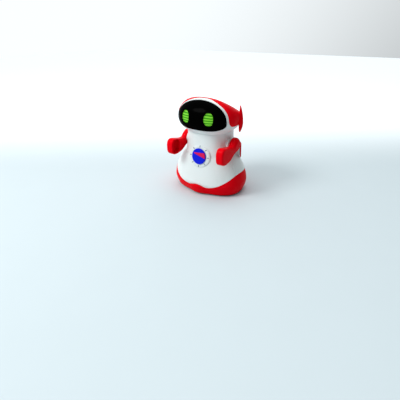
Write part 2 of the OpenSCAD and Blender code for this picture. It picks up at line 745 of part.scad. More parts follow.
module eye_lens(side) {
    // Set back a little behind the faceplate's surface.
    color("limegreen") difference() {
        intersection() {
            head_solid(-eye_set);
            eye_prism(side, 0);
        }
        head_solid(-eye_set - visor_t);
    }
}

module eye_board() {
    color("green") translate([-27, -27, 115]) cube([54, 1.6, 20]);
    color("white") for (side = [-1, 1]) for (z = [-5, 5])
        translate([side * eye_x, -26.99, eye_z + z]) rotate([90, 0, 0]) {
            cylinder(r = 2.5, h = 3);
            translate([0, 0, 3]) sphere(r = 2.5);
        }
}

module ear() {
    // A leaf-shaped fin, thickest low down, on a round boss.
    color("red") difference() {
        translate([head_a - 3.2, 6.5, 119]) rotate([0, 0, 14]) {
            rod_x(-2, 0, 0, 11, 3.6);
            along_x(1.59, 0, 0) cylinder(r1 = 11, r2 = 8, h = 1.6);
            intersection() {
                in_gear_frame(1.8) linear_extrude(7) ear_outline();
                rotate([-8, 0, 0]) translate([7.4 - 70, 0, -3]) sphere(r = 70, $fn = 180);
            }
        }
        head_solid(0.02);
    }
}

module ear_outline() {
    // A leaf: round below, drawn to a point above.
    polygon([for (i = [0:47]) let (t = 7.5 * i, s = sin(t))
        [10 * cos(t) * (1 - 0.42 * (s + 1)) + 0.4, s > 0 ? 22 * pow(s, 1.25) : 20.5 * s]]);
}

// ---- keypad ------------------------------------------------------------------------------

// Each key: across, up the slope, radius.
key_spots = [[0, -14, 5], [0, 14, 5], [-14, 0, 5], [14, 0, 5], [0, 0, 6], [-14.5, 14, 3.4]];

module key(i) {
    k = key_spots[i];
    sink = i == 4 ? 0 : i == 5 ? 1.2 : 0.5;
    tint = i == 4 ? "limegreen" : i == 5 ? "gold" : "dodgerblue";
    color(tint) at_keys() translate([k[0], k[1], 0])
        rotate_extrude() polygon([[0, -5], [k[2] + 1, -5], [k[2] + 1, -4.2], [k[2], -4.2],
            [k[2], 1.1 - sink], [k[2] - 0.5, 1.6 - sink], [0, 1.6 - sink]]);
}

module keypad_membrane() {
    color("gray") at_keys() {
        centred_box(0, 0, -8.4, [42, 42, 1]);
        for (k = key_spots) translate([k[0], k[1], -7.41])
            cylinder(r1 = 3.2, r2 = 2, h = 2.31 - key_travel);
    }
}

module keypad_board() {
    color("green") at_keys() centred_box(0, 0, -10.1, [44, 42, 1.6]);
}

// ---- assembly ----------------------------------------------------------------------------

// The wheel axle line sits this far behind the middle of the object, front to back.
axle_y = 3.7;
translate([0, axle_y, 0]) {
    chassis();
    base_skirt();
    front_shell();
    back_shell();
    rear_cover();
    head_shell();
    head_cap();
    visor();
    eye_lens(1);  // left_eye_lens
    eye_lens(-1);  // right_eye_lens
    eye_board();
    ear();  // left_ear
    mirrored(-1) ear();  // right_ear
    main_board();
    keypad_board();
    keypad_membrane();
    speaker();
    dial_bezel();
    dial_switch();
    chest_dial();
    dial_pointer();
    power_switch();
    switch_knob();
    battery_contacts();
    battery_cells();
    battery_door();
    door_screw();
    case_screws();
    glide_pads();
    motor();  // left_motor
    mirrored(-1) motor();  // right_motor
    gearbox();  // left_gearbox
    mirrored(-1) gearbox();  // right_gearbox
    gearbox_cover();  // left_gearbox_cover
    mirrored(-1) gearbox_cover();  // right_gearbox_cover
    gear_pins();
    pinion();  // left_pinion
    mirrored(-1) pinion();  // right_pinion
    compound_gear();  // left_compound_gear
    mirrored(-1) compound_gear();  // right_compound_gear
    wheel_gear();  // left_wheel_gear
    mirrored(-1) wheel_gear();  // right_wheel_gear
    wheel_axle();  // left_wheel_axle
    mirrored(-1) wheel_axle();  // right_wheel_axle
    wheel_hub();  // left_wheel_hub
    mirrored(-1) wheel_hub();  // right_wheel_hub
    tyre();  // left_tyre
    mirrored(-1) tyre();  // right_tyre
    arm();  // left_arm
    mirrored(-1) arm();  // right_arm
    arm_pin();  // left_arm_pin
    mirrored(-1) arm_pin();  // right_arm_pin
    key(0);  // key_forward
    key(1);  // key_back
    key(2);  // key_left
    key(3);  // key_right
    key(4);  // key_go
    key(5);  // key_clear
}
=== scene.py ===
"""Looks for a small educational coding robot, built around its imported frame.

Lengths are in millimetres in the maths and become metres when a mesh is made. Front is -Y and the
robot's left is +X. The shape functions measure Y from the wheel axle line, AXLE_Y behind the
frame's origin, and follow the same formulas as the frame's own solids.
"""

import json
import math

import bmesh
import bpy
import numpy as np
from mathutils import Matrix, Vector


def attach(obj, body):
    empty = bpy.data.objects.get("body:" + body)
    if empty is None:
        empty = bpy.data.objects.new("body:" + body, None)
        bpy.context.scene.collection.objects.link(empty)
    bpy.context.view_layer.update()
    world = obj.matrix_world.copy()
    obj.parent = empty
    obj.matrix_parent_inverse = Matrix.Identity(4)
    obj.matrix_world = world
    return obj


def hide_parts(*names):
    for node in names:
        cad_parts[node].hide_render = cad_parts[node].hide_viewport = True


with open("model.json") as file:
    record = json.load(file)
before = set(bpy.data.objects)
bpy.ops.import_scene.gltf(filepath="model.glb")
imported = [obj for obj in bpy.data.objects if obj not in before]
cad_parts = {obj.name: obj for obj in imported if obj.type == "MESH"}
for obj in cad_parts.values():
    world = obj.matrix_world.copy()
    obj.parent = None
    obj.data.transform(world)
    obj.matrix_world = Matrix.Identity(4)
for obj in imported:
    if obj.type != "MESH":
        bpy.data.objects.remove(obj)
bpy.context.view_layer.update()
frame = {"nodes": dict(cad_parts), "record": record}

MM = 0.001
AXLE_Y = 3.7

# Body
BELLY_A, BELLY_FRONT, BELLY_BACK, BELLY_Z = 61.5, 41.0, 42.0, 19.0
WAIST_A, NECK_FRONT, WAIST_BACK = 38.8, 29.0, 36.0
FLARE_Z, NECK_Z, NECK_TOP_Z = 63.0, 90.0, 108.0
UNDERCUT, SQUARENESS = 6.0, 2.4
GROUND_GAP, NOSE_OUT, EDGE_LOW, EDGE_RISE = 2.5, 4.0, 12.6, 24.0
SPLIT_T = 70.0
BACK_PROUD = 0.4
SADDLE_Z = 50.5
PANEL_T = 1.8
SEAM_GAP = 0.12          # degrees on each side of the joint between the body mouldings
EDGE_GAP = 0.15          # between the skirt's top edge and the mouldings above it

# Head
HEAD_A, HEAD_B, HEAD_Y, HEAD_Z = 50.0, 41.5, -0.5, 120.5
BROW_H, CHIN_H, BROW_Y, BACK_SLOPE = 32.6, 30.0, -16.0, 0.0165
PLAN_E, SECTION_E, RISE_E = 0.82, 0.9, 0.955
VISOR_A, VISOR_UP, VISOR_DOWN, VISOR_Z = 43.8, 28.6, 15.0, 120.5
CAP_FRONT_Y, CAP_LOW_Z, CAP_CORNER_R = -21.8, 111.5, 11.0
CORNER_Z = CAP_LOW_Z + 0.29 * CAP_CORNER_R
EYE_X, EYE_Z, EYE_RX, EYE_RZ = 20.2, 124.4, 7.7, 10.1
EAR_AT, EAR_TURN = (46.8, 6.5, 119.0), 14.0
CAP_DIP = 1.3            # how far the cap's edge lies below the white rim
EYE_SET = 1.6            # how far the lenses sit back in the faceplate

# Arms, dial and keys
SHOULDER_Y, SHOULDER_Z, ARM_X, ARM_T, BOSS_R = -2.0, 79.0, 39.5, 12.0, 10.0
ARM_POINTS = [
    (1.5, 11.8), (9.4, 8.3), (12.8, 0.3), (9.4, -7.7), (2, -11.1), (-6, -12.2), (-13, -15),
    (-20, -17.6), (-28, -19), (-36, -19.6), (-42.5, -18.2), (-46.5, -14.2), (-47.6, -8),
    (-47.4, -1.5), (-45.2, 4), (-40.5, 6.6), (-33.5, 5.6), (-25, 3.4), (-17, 2), (-10.8, 3),
    (-6.8, 7),
]
DIAL_Z, DIAL_TILT, DIAL_FACE, DIAL_R, BEZEL_R, BEZEL_T = 62.0, 10.0, 33.2, 12.5, 19.0, 4.5
DIAL_MARKS = 8
KEY_Y = 11.0
KEYS = {                 # across, down the slope, radius, how much lower it stands
    "forward": (0, -14, 5.0, 0.5), "back": (0, 14, 5.0, 0.5), "left": (-14, 0, 5.0, 0.5),
    "right": (14, 0, 5.0, 0.5), "go": (0, 0, 6.0, 0.0), "clear": (-14.5, 14, 3.4, 1.2),
}

HEAD_CENTRE = np.array([0.0, HEAD_Y, HEAD_Z])
BISECTIONS = 40
LOOP_HALF = 121          # points on each half of the loops round the faceplate and the cap


# ---- shape functions ----------------------------------------------------------------------

def root(v, e):
    """A power that keeps its sign, which makes rounded squares out of circles."""
    return np.sign(v) * np.abs(v) ** e


def ease(t):
    """A smooth step from 0 to 1."""
    t = np.clip(t, 0, 1)
    return t * t * (3 - 2 * t)


def body_size(z):
    """Half width, front depth and back depth of the body at height z."""
    flare = 1 - (1 - np.clip((FLARE_Z - z) / (FLARE_Z - BELLY_Z), 0, 1)) ** 2.1
    spread = np.clip((FLARE_Z + 5 - z) / (FLARE_Z + 5 - BELLY_Z), 0, 1) ** 2
    front_rise = np.clip((95 - z) / (95 - BELLY_Z), 0, 1)
    under = UNDERCUT * (np.clip(BELLY_Z - z, 0, None) / BELLY_Z) ** 1.6
    neck = 2.3 * ease((z - FLARE_Z) / (NECK_Z - FLARE_Z))
    return (
        WAIST_A + (BELLY_A - WAIST_A) * flare - under - neck,
        NECK_FRONT + (BELLY_FRONT - NECK_FRONT) * front_rise**1.66 - under,
        WAIST_BACK + (BELLY_BACK - WAIST_BACK) * spread - under - 1.3 * neck,
    )


def body_point(t, z, off=0.0):
    """Points of the body's surface at angle t, in degrees from the front, and height z."""
    half, front, back = body_size(z)
    s, c = np.sin(np.radians(t)), np.cos(np.radians(t))
    depth = np.where(c > 0, front, back) + off
    x = (half + off) * root(s, 2 / SQUARENESS)
    y = -depth * root(c, 2 / SQUARENESS)
    return np.stack([x, y, z + 0 * x], axis=-1)


def turn(t):
    """How far an angle is from the front, 0 to 180."""
    return np.abs((t + 180) % 360 - 180)


def edge_z(t):
    """Height of the skirt's wavy top edge at angle t."""
    u = turn(t)
    side = ease((u - 3) / 80)
    back = 1 - 0.45 * np.sin(np.radians((u - 100) * 1.125)) ** 2
    peak = NOSE_OUT * np.exp(-((u / 8) ** 2))
    return EDGE_LOW + EDGE_RISE * np.where(u < 100, side, back) + peak


def nose(t, z):
    """How far the skirt's nose stands out at angle t and height z."""
    return NOSE_OUT * np.exp(-((turn(t) / 11) ** 2)) * np.clip(1.3 - z / 40, 0, 1)


def head_level(p, off=0.0):
    """Negative inside the head, zero on its surface."""
    power = 2 / PLAN_E
    across = np.abs(p[..., 0]) / (HEAD_A + off)
    along = np.abs(p[..., 1] - HEAD_Y) / (HEAD_B + off)
    crown = np.clip(1 - BACK_SLOPE * (p[..., 1] - BROW_Y), 0.02, 1)
    height = p[..., 2] - HEAD_Z
    rise = np.where(height > 0, (BROW_H + off) * crown, CHIN_H + off)
    plan = (across**power + along**power) ** (2 / (SECTION_E * power))
    return plan + (np.abs(height) / rise) ** (2 / RISE_E) - 1


def last_inside(point_at, near, far, off=0.0):
    """The values between near and far at which point_at reaches the head's surface."""
    for _ in range(BISECTIONS):
        middle = (near + far) / 2
        inside = head_level(point_at(middle), off) < 0
        near, far = np.where(inside, middle, near), np.where(inside, far, middle)
    return near


def on_head(directions, off=0.0):
    """Where rays from the head's centre meet its surface."""
    d = directions / np.linalg.norm(directions, axis=-1, keepdims=True)
    near, far = np.zeros(d.shape[:-1]), np.full(d.shape[:-1], 80.0)
    reach = last_inside(lambda v: HEAD_CENTRE + d * v[..., None], near, far, off)
    return HEAD_CENTRE + d * reach[..., None]


def face_point(x, z, off=0.0):
    """Points of the front of the head at (x, z)."""
    near, far = np.full(np.shape(x), HEAD_Y), np.full(np.shape(x), HEAD_Y - 60.0)
    y = last_inside(lambda v: np.stack([x, v, z], axis=-1), near, far, off)
    return np.stack([x, y, z], axis=-1)


def resample(points, count):
    """The same path with evenly spaced points."""
    steps = np.linalg.norm(np.diff(points, axis=0), axis=1)
    along = np.concatenate([[0], np.cumsum(steps)])
    wanted = np.linspace(0, along[-1], count)
    return np.stack([np.interp(wanted, along, points[:, i]) for i in range(3)], axis=1)


def half_loop(points):
    """LOOP_HALF points along a half loop, the first half of them above CORNER_Z.

    It pairs the faceplate's loop with the cap's at the cap's corner, so the rim between them
    has no skewed faces there.
    """
    at = int(np.argmax(points[:, 2] < CORNER_Z))
    first = LOOP_HALF // 2
    upper, lower = resample(points[: at + 1], first), resample(points[at:], LOOP_HALF - first + 1)
    return np.concatenate([upper, lower[1:]])


def both_sides(half):
    """A closed loop from its +X half, which starts and ends on the middle plane."""
    other = half[-2:0:-1] * [-1, 1, 1]
    return np.concatenate([half, other])


def visor_outline(t, grow=0.0):
    """The faceplate's outline in x and z, with t in radians from its top."""
    upper = np.cos(t) > 0
    e = np.where(upper, 0.95, 0.64)
    x = (VISOR_A + grow) * root(np.sin(t), e)
    z = VISOR_Z + (np.where(upper, VISOR_UP, VISOR_DOWN) + grow) * root(np.cos(t), e)
    return x, z


def visor_loop(grow):
    """The faceplate's outline on the head's surface."""
    x, z = visor_outline(np.radians(np.linspace(0, 180, 400)), grow)
    x[0] = x[-1] = 0
    return both_sides(half_loop(face_point(x, z)))


def cap_loop(shift):
    """The cap's front and lower edge on the head's surface."""
    y, z, r = CAP_FRONT_Y + shift, CAP_LOW_Z + shift, CAP_CORNER_R
    corner = [(y + r + r * math.cos(q), z + r + r * math.sin(q))
              for q in np.linspace(math.pi, 1.5 * math.pi, 24)]
    side = [(y + 9, 180), (y + 6, 152), (y + 2, 148), (y + 0.5, 144), *corner, (80, z - 1.5)]
    side = resample(np.array([(0, a, b) for a, b in side], float), 6000)
    side = side[head_level(side) < 0]
    near, far = np.zeros(len(side)), np.full(len(side), HEAD_A + 1)
    side[:, 0] = last_inside(lambda v: side + np.stack([v, 0 * v, 0 * v], axis=1), near, far)
    side[0, 0] = side[-1, 0] = 0
    return both_sides(half_loop(side))


def between(start, end, rows, off=0.0):
    """A grid on the head's surface from one loop to another, along great circles."""
    a, b = start - HEAD_CENTRE, end - HEAD_CENTRE
    a = a / np.linalg.norm(a, axis=1, keepdims=True)
    b = b / np.linalg.norm(b, axis=1, keepdims=True)
    angle = np.arccos(np.clip((a * b).sum(1), -1, 1))[:, None]
    grid = []
    for k in np.linspace(0, 1, rows):
        d = (np.sin((1 - k) * angle) * a + np.sin(k * angle) * b) / np.sin(angle)
        grid.append(on_head(d, off))
    return np.array(grid)


def head_top(y):
    """Height of the head's surface on its middle plane."""
    c = (abs(y - HEAD_Y) / HEAD_B) ** (1 / SECTION_E)
    crown = min(1, 1 - BACK_SLOPE * (y - BROW_Y))
    return HEAD_Z + BROW_H * crown * math.sqrt(1 - c * c) ** RISE_E


KEY_SLOPE = math.atan((head_top(KEY_Y - 6) - head_top(KEY_Y + 6)) / 12)


def at_dial(a, b, h):
    """From the dial's own plane: a across, b up, h outwards."""
    s, c = math.sin(math.radians(DIAL_TILT)), math.cos(math.radians(DIAL_TILT))
    return (a, -DIAL_FACE + b * s - h * c, DIAL_Z + b * c + h * s)


def at_keys(a, b, h):
    """From the keypad's plane: a across, b back down the slope, h outwards."""
    s, c = math.sin(KEY_SLOPE), math.cos(KEY_SLOPE)
    return (a, KEY_Y + b * c + h * s, head_top(KEY_Y) - b * s + h * c)


def at_ear(a, b, h):
    """From the ear's plane on the robot's left: a to the back, b up, h outwards."""
    s, c = math.sin(math.radians(EAR_TURN)), math.cos(math.radians(EAR_TURN))
    return (EAR_AT[0] + h * c - a * s, EAR_AT[1] + h * s + a * c, EAR_AT[2] + b)


def at_shoulder(a, b, h):
    """From the shoulder on the robot's left: a to the back, b up, h outwards."""
    return (h, SHOULDER_Y + a, SHOULDER_Z + b)


def along_y(a, b, h):
    """From an upright plane: a across, b up, h backwards."""
    return (a, h, b)


def at_key(kind):
    """The keypad's frame, moved to the middle of one key."""
    a0, b0 = KEYS[kind][:2]
    return lambda a, b, h: at_keys(a0 + a, b0 + b, h)


def mirrored(to_xyz, side):
    """The same frame on either side of the robot."""
    return lambda a, b, h: (side * to_xyz(a, b, h)[0], *to_xyz(a, b, h)[1:])


# ---- mesh helpers -------------------------------------------------------------------------

def linked(name, data):
    """A new object in the scene."""
    obj = bpy.data.objects.new(name, data)
    bpy.context.scene.collection.objects.link(obj)
    return obj


def new_object(name, points, faces):
    """A mesh object from points in millimetres, measured from the axle line."""
    mesh = bpy.data.meshes.new(name)
    world = (np.asarray(points, float).reshape(-1, 3) + [0, AXLE_Y, 0]) * MM
    mesh.from_pydata(world.tolist(), [], faces)
    mesh.validate()
    mesh.shade_smooth()
    return linked(name, mesh)


def grid_faces(rows, cols, closed):
    """Four-sided faces over a grid of points. A closed grid joins its last column to its first."""
    faces = []
    for row in range(0, (rows - 1) * cols, cols):
        for c in range(cols if closed else cols - 1):
            d = (c + 1) % cols
            faces.append((row + c, row + d, row + cols + d, row + cols + c))
    return faces


def sheet_object(name, grid, closed=False, pole=None, flip=False):
    """A surface from a grid of points. With a pole, its first row closes on that one point."""
    rows, cols = grid.shape[:2]
    points = grid.reshape(-1, 3)
    faces = grid_faces(rows, cols, closed)
    if pole is not None:
        faces += [(len(points), (c + 1) % cols, c) for c in range(cols)]
        points = np.concatenate([points, [pole]])
    if flip:
        faces = [f[::-1] for f in faces]
    return new_object(name, points, faces)


def bake(obj):
    """Replaces an object's mesh by what its modifiers make of it."""
    bpy.context.view_layer.update()
    depsgraph = bpy.context.evaluated_depsgraph_get()
    made = bpy.data.meshes.new_from_object(obj.evaluated_get(depsgraph))
    obj.modifiers.clear()
    obj.data = made


def thicken(obj, thickness, rounding, segments=3):
    """Gives a surface an inward wall and rounds its edges."""
    wall = obj.modifiers.new("wall", "SOLIDIFY")
    wall.thickness = thickness * MM
    wall.offset = -1
    round_edges(obj, rounding, segments)


def round_edges(obj, rounding, segments=3, angle=35):
    """Rounds every edge sharper than an angle, and bakes all the object's modifiers."""
    edge = obj.modifiers.new("edge", "BEVEL")
    edge.width = rounding * MM
    edge.segments = segments
    edge.limit_method = "ANGLE"
    edge.angle_limit = math.radians(angle)
    edge.harden_normals = False
    bake(obj)


def cut(obj, cutter):
    """Takes the cutter's shape out of an object."""
    hole = obj.modifiers.new("hole", "BOOLEAN")
    hole.operation = "DIFFERENCE"
    hole.object = cutter
    hole.solver = "EXACT"
    bake(obj)
    bpy.data.objects.remove(cutter)


def sharpen(obj, angle=40):
    """Shades smooth, apart from edges sharper than an angle."""
    obj.data.shade_smooth()
    obj.data.set_sharp_from_angle(angle=math.radians(angle))


def paint(obj, material):
    obj.data.materials.clear()
    obj.data.materials.append(material)


def place(obj, material, body, slot, *nodes):
    """Gives a finished piece its material and its body, and hides the nodes it stands for. The
    slot is not used.
    """
    paint(obj, material)
    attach(obj, body)
    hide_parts(*nodes)
    return obj


def prism(name, outline, low, high, to_xyz):
    """A closed prism over a 2-D outline. to_xyz turns (a, b, height) into a point."""
    n = len(outline)
    points = [to_xyz(a, b, h) for h in (low, high) for a, b in outline]
    faces = [tuple(range(n))[::-1], tuple(range(n, 2 * n))]
    faces += [(i, (i + 1) % n, n + (i + 1) % n, n + i) for i in range(n)]
    return new_object(name, points, faces)


def revolve(name, profile, steps, to_xyz):
    """A solid of revolution from (radius, height) pairs that start and end on the axis."""
    points = []
    rows = profile[1:-1]
    for r, h in rows:
        for i in range(steps):
            q = 2 * math.pi * i / steps
            points.append(to_xyz(r * math.cos(q), r * math.sin(q), h))
    faces = grid_faces(len(rows), steps, True)
    first, last = len(points), len(points) + 1
    points += [to_xyz(0, 0, profile[0][1]), to_xyz(0, 0, profile[-1][1])]
    top = (len(rows) - 1) * steps
    faces += [(first, (i + 1) % steps, i) for i in range(steps)]
    faces += [(last, top + i, top + (i + 1) % steps) for i in range(steps)]
    return new_object(name, points, faces)


def loft(name, loops, to_xyz):
    """A closed solid through loops of (a, b, height) points."""
    n = len(loops[0])
    points = [to_xyz(*p) for loop in loops for p in loop]
    last = (len(loops) - 1) * n
    faces = [tuple(range(n))[::-1], tuple(range(last, last + n))]
    faces += grid_faces(len(loops), n, True)
    return new_object(name, points, faces)


def block(name, outer, inner):
    """A closed solid between two grids of the same size."""
    rows, cols = outer.shape[:2]
    n = rows * cols
    faces = grid_faces(rows, cols, False)
    faces += [tuple(v + n for v in f[::-1]) for f in faces]
    rim = list(range(cols)) + [r * cols + cols - 1 for r in range(1, rows)]
    rim += [n - 1 - c for c in range(1, cols)] + [r * cols for r in range(rows - 2, 0, -1)]
    faces += [(a, a + n, b + n, b) for a, b in zip(rim, rim[1:] + rim[:1])]
    points = np.concatenate([outer.reshape(-1, 3), inner.reshape(-1, 3)])
    return new_object(name, points, faces)


def outward(obj):
    """Makes all faces of a closed mesh look outwards."""
    mesh = bmesh.new()
    mesh.from_mesh(obj.data)
    bmesh.ops.recalc_face_normals(mesh, faces=mesh.faces)
    mesh.to_mesh(obj.data)
    mesh.free()
    return obj


def smooth_loop(points, steps):
    """A closed curve through the points (Catmull-Rom)."""
    p = np.array(points, float)
    a, c, d = np.roll(p, 1, axis=0), np.roll(p, -1, axis=0), np.roll(p, -2, axis=0)
    straight, square, cube = c - a, 2 * a - 5 * p + 4 * c - d, 3 * p - a - 3 * c + d
    rows = [(2 * p + straight * t + square * t**2 + cube * t**3) / 2
            for t in np.arange(steps) / steps]
    return np.stack(rows, axis=1).reshape(-1, 2)


def rotated(points, q):
    """2-D points turned anticlockwise by q radians."""
    s, c = math.sin(q), math.cos(q)
    return [(a * c - b * s, a * s + b * c) for a, b in points]


def arc(radius, start, end, steps):
    """Points of a circle between two angles in degrees."""
    return [(radius * math.cos(math.radians(q)), radius * math.sin(math.radians(q)))
            for q in np.linspace(start, end, steps)]


def inward(loop):
    """Unit vectors that point into a clockwise loop."""
    t = np.roll(loop, -1, axis=0) - np.roll(loop, 1, axis=0)
    t = t / np.linalg.norm(t, axis=1, keepdims=True)
    return np.stack([t[:, 1], -t[:, 0]], axis=1)


def rounded_rect(a0, b0, a1, b1, r, steps=8):
    """A clockwise rectangle with round corners."""
    corners = [(a1 - r, b1 - r, 90), (a1 - r, b0 + r, 0),
               (a0 + r, b0 + r, -90), (a0 + r, b1 - r, -180)]
    points = []
    for a, b, start in corners:
        for k in range(steps + 1):
            q = math.radians(start - 90 * k / steps)
            points.append((a + r * math.cos(q), b + r * math.sin(q)))
    return points


# ---- materials ----------------------------------------------------------------------------

def new_material(name):
    """A material with its nodes, links, main shader and a source of object coordinates."""
    mat = bpy.data.materials.new(name)
    mat.use_nodes = True
    nodes, links = mat.node_tree.nodes, mat.node_tree.links
    shader = nodes["Principled BSDF"]
    where = nodes.new("ShaderNodeTexCoord").outputs["Object"]
    return mat, nodes, links, shader, where


def noise(nodes, links, where, scale, detail):
    """The output of a noise texture."""
    texture = nodes.new("ShaderNodeTexNoise")
    texture.inputs["Scale"].default_value = scale
    texture.inputs["Detail"].default_value = detail
    links.new(where, texture.inputs["Vector"])
    return texture.outputs["Fac"]


def mapped(nodes, links, source, low, high, span=(0.0, 1.0), smooth=False):
    """The output of a map from a span of the source's values to low and high."""
    node = nodes.new("ShaderNodeMapRange")
    if smooth:
        node.interpolation_type = "SMOOTHSTEP"
    node.inputs["From Min"].default_value, node.inputs["From Max"].default_value = span
    node.inputs["To Min"].default_value = low
    node.inputs["To Max"].default_value = high
    links.new(source, node.inputs["Value"])
    return node.outputs["Result"]


def towards(nodes, links, where, direction):
    """How far a position lies along a direction."""
    node = nodes.new("ShaderNodeVectorMath")
    node.operation = "DOT_PRODUCT"
    node.inputs[1].default_value = direction
    links.new(where, node.inputs[0])
    return node.outputs["Value"]


def plastic(name, colour, rough=0.35, coat=0.0, bump=0.02, grain=900.0, mottle=0.03, metal=0.0,
            level=0.5):
    """Moulded plastic: faint colour drift, a fine skin texture and uneven gloss."""
    mat, nodes, links, shader, where = new_material(name)
    shader.inputs["Metallic"].default_value = metal
    shader.inputs["Coat Weight"].default_value = coat
    shader.inputs["Coat Roughness"].default_value = 0.08
    shader.inputs["IOR"].default_value = 1.49
    shader.inputs["Specular IOR Level"].default_value = level
    mix = nodes.new("ShaderNodeMix")
    mix.data_type = "RGBA"
    mix.inputs["A"].default_value = (*[c * (1 - mottle) for c in colour], 1)
    mix.inputs["B"].default_value = (*[min(1, c * (1 + mottle)) for c in colour], 1)
    links.new(noise(nodes, links, where, 22.0, 3.0), mix.inputs["Factor"])
    links.new(mix.outputs["Result"], shader.inputs["Base Color"])
    fine = noise(nodes, links, where, grain, 2.0)
    gloss = mapped(nodes, links, fine, rough * 0.88, rough * 1.12)
    links.new(gloss, shader.inputs["Roughness"])
    skin = nodes.new("ShaderNodeBump")
    skin.inputs["Strength"].default_value = bump
    skin.inputs["Distance"].default_value = 0.0005
    links.new(fine, skin.inputs["Height"])
    links.new(skin.outputs["Normal"], shader.inputs["Normal"])
    return mat


def eye_glow():
    """Lit green lens with soft horizontal bands."""
    mat, nodes, links, shader, where = new_material("eye_glow")
    shader.inputs["Roughness"].default_value = 0.3
    shader.inputs["Specular IOR Level"].default_value = 0.1
    shader.inputs["Emission Strength"].default_value = 0.45
    bands = nodes.new("ShaderNodeTexWave")
    bands.bands_direction = "Z"
    bands.inputs["Scale"].default_value = 82.0
    bands.inputs["Distortion"].default_value = 1.1
    bands.inputs["Detail"].default_value = 1.0
    bands.inputs["Detail Scale"].default_value = 1.6
    links.new(where, bands.inputs["Vector"])
    ramp = nodes.new("ShaderNodeValToRGB")
    ramp.color_ramp.elements[0].position = 0.25
    ramp.color_ramp.elements[0].color = (0.022, 0.20, 0.002, 1)
    ramp.color_ramp.elements[1].position = 0.75
    ramp.color_ramp.elements[1].color = (0.15, 0.47, 0.028, 1)
    links.new(bands.outputs["Fac"], ramp.inputs["Fac"])
    links.new(ramp.outputs["Color"], shader.inputs["Base Color"])
    links.new(ramp.outputs["Color"], shader.inputs["Emission Color"])
    return mat


WHITE = plastic("white_shell", (0.755, 0.80, 0.79), rough=0.32, coat=0.25, mottle=0.012)
RED = plastic("red_shell", (0.80, 0.0004, 0.006), rough=0.3, coat=0.02, mottle=0.04,
              level=0.015)
FACEPLATE = plastic("faceplate", (0.0006, 0.0006, 0.0006), rough=0.14, bump=0.003, mottle=0.05,
                    level=0.004)
DIAL_BLUE = plastic("dial_blue", (0.004, 0.014, 0.66), rough=0.35, level=0.06)
POINTER_RED = plastic("pointer_red", (0.66, 0.012, 0.09), rough=0.35, level=0.06)
PRINT = plastic("printed_ticks", (0.05, 0.07, 0.16), rough=0.5)
KEY_BLUE = plastic("key_blue", (0.03, 0.17, 0.72), rough=0.42)
KEY_GREEN = plastic("key_green", (0.04, 0.42, 0.08), rough=0.42)
KEY_YELLOW = plastic("key_yellow", (0.85, 0.48, 0.02), rough=0.42)
KEY_PRINT = plastic("key_print", (0.85, 0.86, 0.86), rough=0.5)
GREY = plastic("grey_plastic", (0.045, 0.046, 0.05), rough=0.55, bump=0.12, grain=1400.0)
BLACK = plastic("black_plastic", (0.012, 0.012, 0.013), rough=0.45, bump=0.06)
GLIDE = plastic("glide", (0.2, 0.2, 0.21), rough=0.25)
GEAR = plastic("gear_plastic", (0.72, 0.70, 0.62), rough=0.4)
BRASS = plastic("pinion_brass", (0.72, 0.50, 0.2), rough=0.28, metal=1.0, grain=2500.0)
STEEL = plastic("steel", (0.56, 0.57, 0.58), rough=0.3, metal=1.0, grain=2500.0)
MOTOR = plastic("motor_can", (0.5, 0.5, 0.51), rough=0.35, metal=1.0, grain=1500.0)
SLEEVE = plastic("cell_sleeve", (0.45, 0.2, 0.04), rough=0.3, metal=0.3, mottle=0.1)
BOARD = plastic("board", (0.02, 0.16, 0.06), rough=0.4, mottle=0.25)
MEMBRANE = plastic("membrane", (0.3, 0.3, 0.31), rough=0.75, bump=0.05)
HUB = plastic("hub", (0.55, 0.56, 0.57), rough=0.4)
TYRE = plastic("tyre", (0.015, 0.015, 0.016), rough=0.85, bump=0.25, grain=1800.0, mottle=0.15)
EYE = eye_glow()


# ---- body ---------------------------------------------------------------------------------

def shell_piece(name, start, end, cols, off, node):
    """One body moulding between two angles, from the skirt's edge up into the head."""
    ts = np.linspace(start, end, cols)
    low = edge_z(ts) + EDGE_GAP
    rows = 90
    grid = [body_point(ts, low + (NECK_TOP_Z - low) * (r / (rows - 1)) ** 0.9, off)
            for r in range(rows)]
    obj = sheet_object(name, np.array(grid))
    thicken(obj, PANEL_T, 0.45)
    place(obj, WHITE, "body", "white_shell", node)


def skirt_piece():
    """The red skirt with its wavy top edge and the nose at the front."""
    ts = np.linspace(0, 360, 288, endpoint=False)
    top = edge_z(ts) - EDGE_GAP
    rows = 26
    grid = []
    for r in range(rows):
        z = GROUND_GAP + (top - GROUND_GAP) * r / (rows - 1)
        points = body_point(ts, z)
        points[:, 1] -= nose(ts, z)
        grid.append(points)
    # A lip turns in at the top and closes the nose.
    grid.append(body_point(ts, top, -0.9))
    obj = sheet_object("skirt", np.array(grid), closed=True)
    thicken(obj, PANEL_T, 0.55)
    place(obj, RED, "body", "red_shell", "base_skirt")


def slot_cutter(z, length):
    """A long hole with round ends through the rear cover."""
    r = 0.9
    quarter = math.pi / 2
    right = [(length / 2 - r + r * math.cos(q), z + r * math.sin(q))
             for q in np.linspace(-quarter, quarter, 12)]
    left = [(-a, 2 * z - b) for a, b in right]
    return outward(prism("slot", right + left, 25, 55, along_y))


def saddle_point(t, z, off):
    """Points of an upright wall whose plan is the body's at SADDLE_Z, moved out by off."""
    points = body_point(t, SADDLE_Z + 0 * t, off)
    points[:, 2] = z
    return points


